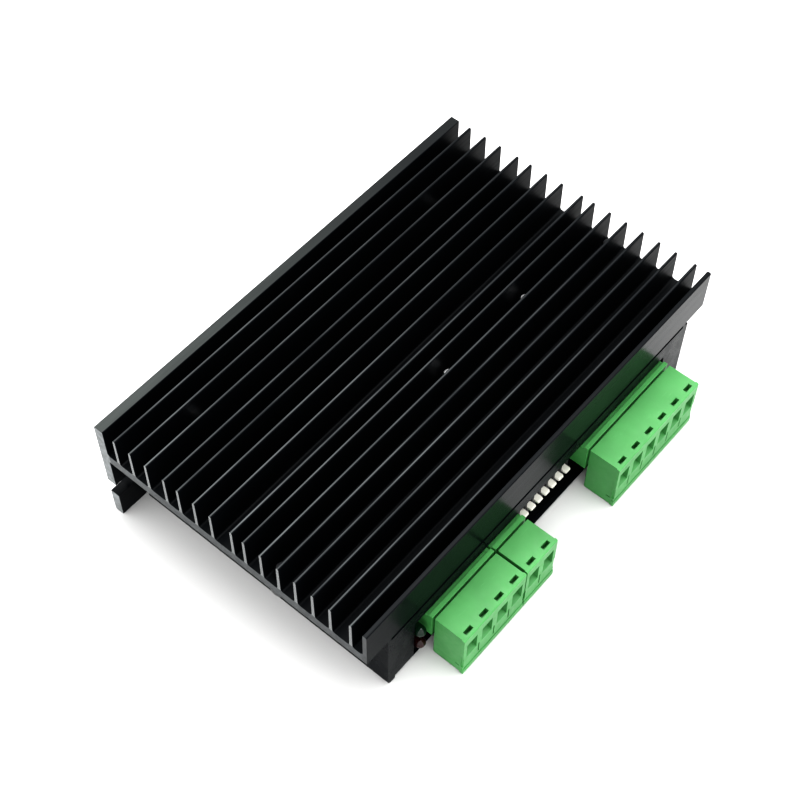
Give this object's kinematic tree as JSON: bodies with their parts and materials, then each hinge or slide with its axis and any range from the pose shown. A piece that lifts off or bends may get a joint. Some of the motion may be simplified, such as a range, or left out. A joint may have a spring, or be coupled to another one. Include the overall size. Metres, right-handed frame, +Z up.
{
  "type": "stepper driver module",
  "caption": "Finned driver module for a stepper motor: black heat sink body with slotted mounting wall, folded sheet cover, pull-off green screw terminals, slide switches and status lamps.",
  "frame": {"origin": "middle of the footprint, at the level of the cover's face, which the module lies on", "axes": "X from the mounting wall towards the plugs, Y along the fins, Z up towards the fin tips"},
  "size_m": [0.0852, 0.118, 0.033],
  "materials": {
    "black_anodised": "satin black anodised, bare sawn ends",
    "black_paint": "satin black powder coat",
    "label_film": "matt film, blank",
    "board": "solder mask",
    "green_plastic": "moulded, lightly textured",
    "tinned_pin": "tinned",
    "contact_brass": "stamped",
    "screw_steel": "zinc plated",
    "cage_steel": "nickel plated",
    "black_plastic": "moulded",
    "ivory_plastic": "moulded",
    "green_lens": "tinted epoxy",
    "red_lens": "tinted epoxy",
    "chip_resin": "moulded resin",
    "thermal_pad": "soft filled silicone",
    "capacitor_sleeve": "shrunk sleeve",
    "white_resin": "moulded resin"
  },
  "bodies": {
    "module": {"heatsink": "black_anodised", "cover": "black_paint", "front_sheet": "label_film", "pcb": "board", "header_4": "green_plastic", "header_2": "green_plastic", "header_6": "green_plastic", "header_pins_4": "tinned_pin", "header_pins_2": "tinned_pin", "header_pins_6": "tinned_pin", "switch_body": "black_plastic", "lamp_holder": "black_plastic", "lamp_green": "green_lens", "lamp_red": "red_lens", "power_transistors": "chip_resin", "thermal_pads": "thermal_pad", "standoffs": "screw_steel", "board_screws": "screw_steel", "cover_screws": "screw_steel", "capacitors": "capacitor_sleeve", "chips": "chip_resin", "optocouplers": "white_resin"},
    "plug_4_body": {"plug_4": "green_plastic", "contacts_4": "contact_brass"},
    "plug_2_body": {"plug_2": "green_plastic", "contacts_2": "contact_brass"},
    "plug_6_body": {"plug_6": "green_plastic", "contacts_6": "contact_brass"},
    "screw_1_body": {"clamp_screw_1": "screw_steel"},
    "cage_1_body": {"clamp_cage_1": "cage_steel"},
    "screw_2_body": {"clamp_screw_2": "screw_steel"},
    "cage_2_body": {"clamp_cage_2": "cage_steel"},
    "screw_3_body": {"clamp_screw_3": "screw_steel"},
    "cage_3_body": {"clamp_cage_3": "cage_steel"},
    "screw_4_body": {"clamp_screw_4": "screw_steel"},
    "cage_4_body": {"clamp_cage_4": "cage_steel"},
    "screw_5_body": {"clamp_screw_5": "screw_steel"},
    "cage_5_body": {"clamp_cage_5": "cage_steel"},
    "screw_6_body": {"clamp_screw_6": "screw_steel"},
    "cage_6_body": {"clamp_cage_6": "cage_steel"},
    "screw_7_body": {"clamp_screw_7": "screw_steel"},
    "cage_7_body": {"clamp_cage_7": "cage_steel"},
    "screw_8_body": {"clamp_screw_8": "screw_steel"},
    "cage_8_body": {"clamp_cage_8": "cage_steel"},
    "screw_9_body": {"clamp_screw_9": "screw_steel"},
    "cage_9_body": {"clamp_cage_9": "cage_steel"},
    "screw_10_body": {"clamp_screw_10": "screw_steel"},
    "cage_10_body": {"clamp_cage_10": "cage_steel"},
    "screw_11_body": {"clamp_screw_11": "screw_steel"},
    "cage_11_body": {"clamp_cage_11": "cage_steel"},
    "screw_12_body": {"clamp_screw_12": "screw_steel"},
    "cage_12_body": {"clamp_cage_12": "cage_steel"},
    "lever_1_body": {"lever_1": "ivory_plastic"},
    "lever_2_body": {"lever_2": "ivory_plastic"},
    "lever_3_body": {"lever_3": "ivory_plastic"},
    "lever_4_body": {"lever_4": "ivory_plastic"},
    "lever_5_body": {"lever_5": "ivory_plastic"},
    "lever_6_body": {"lever_6": "ivory_plastic"},
    "lever_7_body": {"lever_7": "ivory_plastic"},
    "lever_8_body": {"lever_8": "ivory_plastic"}
  },
  "joints": [
    {"name": "plug_4_pull", "type": "slide", "parent": "module", "child": "plug_4_body", "axis": [1, 0, 0], "range_m": [0, 0.012]},
    {"name": "plug_2_pull", "type": "slide", "parent": "module", "child": "plug_2_body", "axis": [1, 0, 0], "range_m": [0, 0.012]},
    {"name": "plug_6_pull", "type": "slide", "parent": "module", "child": "plug_6_body", "axis": [1, 0, 0], "range_m": [0, 0.012]},
    {"name": "screw_1_turn", "type": "hinge", "parent": "plug_4_body", "child": "screw_1_body", "pos_m": [0.03755, -0.03749, 0.002], "axis": [0, 0, 1], "range_deg": [0, 2161]},
    {"name": "cage_1_rise", "type": "slide", "parent": "plug_4_body", "child": "cage_1_body", "axis": [0, 0, 1], "range_m": [-0.003, 0]},
    {"name": "screw_2_turn", "type": "hinge", "parent": "plug_4_body", "child": "screw_2_body", "pos_m": [0.03755, -0.03241, 0.002], "axis": [0, 0, 1], "range_deg": [0, 2161]},
    {"name": "cage_2_rise", "type": "slide", "parent": "plug_4_body", "child": "cage_2_body", "axis": [0, 0, 1], "range_m": [-0.003, 0]},
    {"name": "screw_3_turn", "type": "hinge", "parent": "plug_4_body", "child": "screw_3_body", "pos_m": [0.03755, -0.02733, 0.002], "axis": [0, 0, 1], "range_deg": [0, 2161]},
    {"name": "cage_3_rise", "type": "slide", "parent": "plug_4_body", "child": "cage_3_body", "axis": [0, 0, 1], "range_m": [-0.003, 0]},
    {"name": "screw_4_turn", "type": "hinge", "parent": "plug_4_body", "child": "screw_4_body", "pos_m": [0.03755, -0.02225, 0.002], "axis": [0, 0, 1], "range_deg": [0, 2161]},
    {"name": "cage_4_rise", "type": "slide", "parent": "plug_4_body", "child": "cage_4_body", "axis": [0, 0, 1], "range_m": [-0.003, 0]},
    {"name": "screw_5_turn", "type": "hinge", "parent": "plug_2_body", "child": "screw_5_body", "pos_m": [0.03755, -0.01649, 0.002], "axis": [0, 0, 1], "range_deg": [0, 2161]},
    {"name": "cage_5_rise", "type": "slide", "parent": "plug_2_body", "child": "cage_5_body", "axis": [0, 0, 1], "range_m": [-0.003, 0]},
    {"name": "screw_6_turn", "type": "hinge", "parent": "plug_2_body", "child": "screw_6_body", "pos_m": [0.03755, -0.01141, 0.002], "axis": [0, 0, 1], "range_deg": [0, 2161]},
    {"name": "cage_6_rise", "type": "slide", "parent": "plug_2_body", "child": "cage_6_body", "axis": [0, 0, 1], "range_m": [-0.003, 0]},
    {"name": "screw_7_turn", "type": "hinge", "parent": "plug_6_body", "child": "screw_7_body", "pos_m": [0.03755, 0.01647, 0.002], "axis": [0, 0, 1], "range_deg": [0, 2161]},
    {"name": "cage_7_rise", "type": "slide", "parent": "plug_6_body", "child": "cage_7_body", "axis": [0, 0, 1], "range_m": [-0.003, 0]},
    {"name": "screw_8_turn", "type": "hinge", "parent": "plug_6_body", "child": "screw_8_body", "pos_m": [0.03755, 0.02155, 0.002], "axis": [0, 0, 1], "range_deg": [0, 2161]},
    {"name": "cage_8_rise", "type": "slide", "parent": "plug_6_body", "child": "cage_8_body", "axis": [0, 0, 1], "range_m": [-0.003, 0]},
    {"name": "screw_9_turn", "type": "hinge", "parent": "plug_6_body", "child": "screw_9_body", "pos_m": [0.03755, 0.02663, 0.002], "axis": [0, 0, 1], "range_deg": [0, 2161]},
    {"name": "cage_9_rise", "type": "slide", "parent": "plug_6_body", "child": "cage_9_body", "axis": [0, 0, 1], "range_m": [-0.003, 0]},
    {"name": "screw_10_turn", "type": "hinge", "parent": "plug_6_body", "child": "screw_10_body", "pos_m": [0.03755, 0.03171, 0.002], "axis": [0, 0, 1], "range_deg": [0, 2161]},
    {"name": "cage_10_rise", "type": "slide", "parent": "plug_6_body", "child": "cage_10_body", "axis": [0, 0, 1], "range_m": [-0.003, 0]},
    {"name": "screw_11_turn", "type": "hinge", "parent": "plug_6_body", "child": "screw_11_body", "pos_m": [0.03755, 0.03679, 0.002], "axis": [0, 0, 1], "range_deg": [0, 2161]},
    {"name": "cage_11_rise", "type": "slide", "parent": "plug_6_body", "child": "cage_11_body", "axis": [0, 0, 1], "range_m": [-0.003, 0]},
    {"name": "screw_12_turn", "type": "hinge", "parent": "plug_6_body", "child": "screw_12_body", "pos_m": [0.03755, 0.04187, 0.002], "axis": [0, 0, 1], "range_deg": [0, 2161]},
    {"name": "cage_12_rise", "type": "slide", "parent": "plug_6_body", "child": "cage_12_body", "axis": [0, 0, 1], "range_m": [-0.003, 0]},
    {"name": "lever_1_slide", "type": "slide", "parent": "module", "child": "lever_1_body", "axis": [0, 0, 1], "range_m": [0, 0.0016]},
    {"name": "lever_2_slide", "type": "slide", "parent": "module", "child": "lever_2_body", "axis": [0, 0, 1], "range_m": [0, 0.0016]},
    {"name": "lever_3_slide", "type": "slide", "parent": "module", "child": "lever_3_body", "axis": [0, 0, 1], "range_m": [0, 0.0016]},
    {"name": "lever_4_slide", "type": "slide", "parent": "module", "child": "lever_4_body", "axis": [0, 0, 1], "range_m": [0, 0.0016]},
    {"name": "lever_5_slide", "type": "slide", "parent": "module", "child": "lever_5_body", "axis": [0, 0, 1], "range_m": [0, 0.0016]},
    {"name": "lever_6_slide", "type": "slide", "parent": "module", "child": "lever_6_body", "axis": [0, 0, 1], "range_m": [0, 0.0016]},
    {"name": "lever_7_slide", "type": "slide", "parent": "module", "child": "lever_7_body", "axis": [0, 0, 1], "range_m": [0, 0.0016]},
    {"name": "lever_8_slide", "type": "slide", "parent": "module", "child": "lever_8_body", "axis": [0, 0, 1], "range_m": [0, 0.0016]}
  ],
  "couplings": [
    {"joint": "screw_1_turn", "follows": "cage_1_rise", "rad_per_m": -12566},
    {"joint": "screw_2_turn", "follows": "cage_2_rise", "rad_per_m": -12566},
    {"joint": "screw_3_turn", "follows": "cage_3_rise", "rad_per_m": -12566},
    {"joint": "screw_4_turn", "follows": "cage_4_rise", "rad_per_m": -12566},
    {"joint": "screw_5_turn", "follows": "cage_5_rise", "rad_per_m": -12566},
    {"joint": "screw_6_turn", "follows": "cage_6_rise", "rad_per_m": -12566},
    {"joint": "screw_7_turn", "follows": "cage_7_rise", "rad_per_m": -12566},
    {"joint": "screw_8_turn", "follows": "cage_8_rise", "rad_per_m": -12566},
    {"joint": "screw_9_turn", "follows": "cage_9_rise", "rad_per_m": -12566},
    {"joint": "screw_10_turn", "follows": "cage_10_rise", "rad_per_m": -12566},
    {"joint": "screw_11_turn", "follows": "cage_11_rise", "rad_per_m": -12566},
    {"joint": "screw_12_turn", "follows": "cage_12_rise", "rad_per_m": -12566}
  ]
}
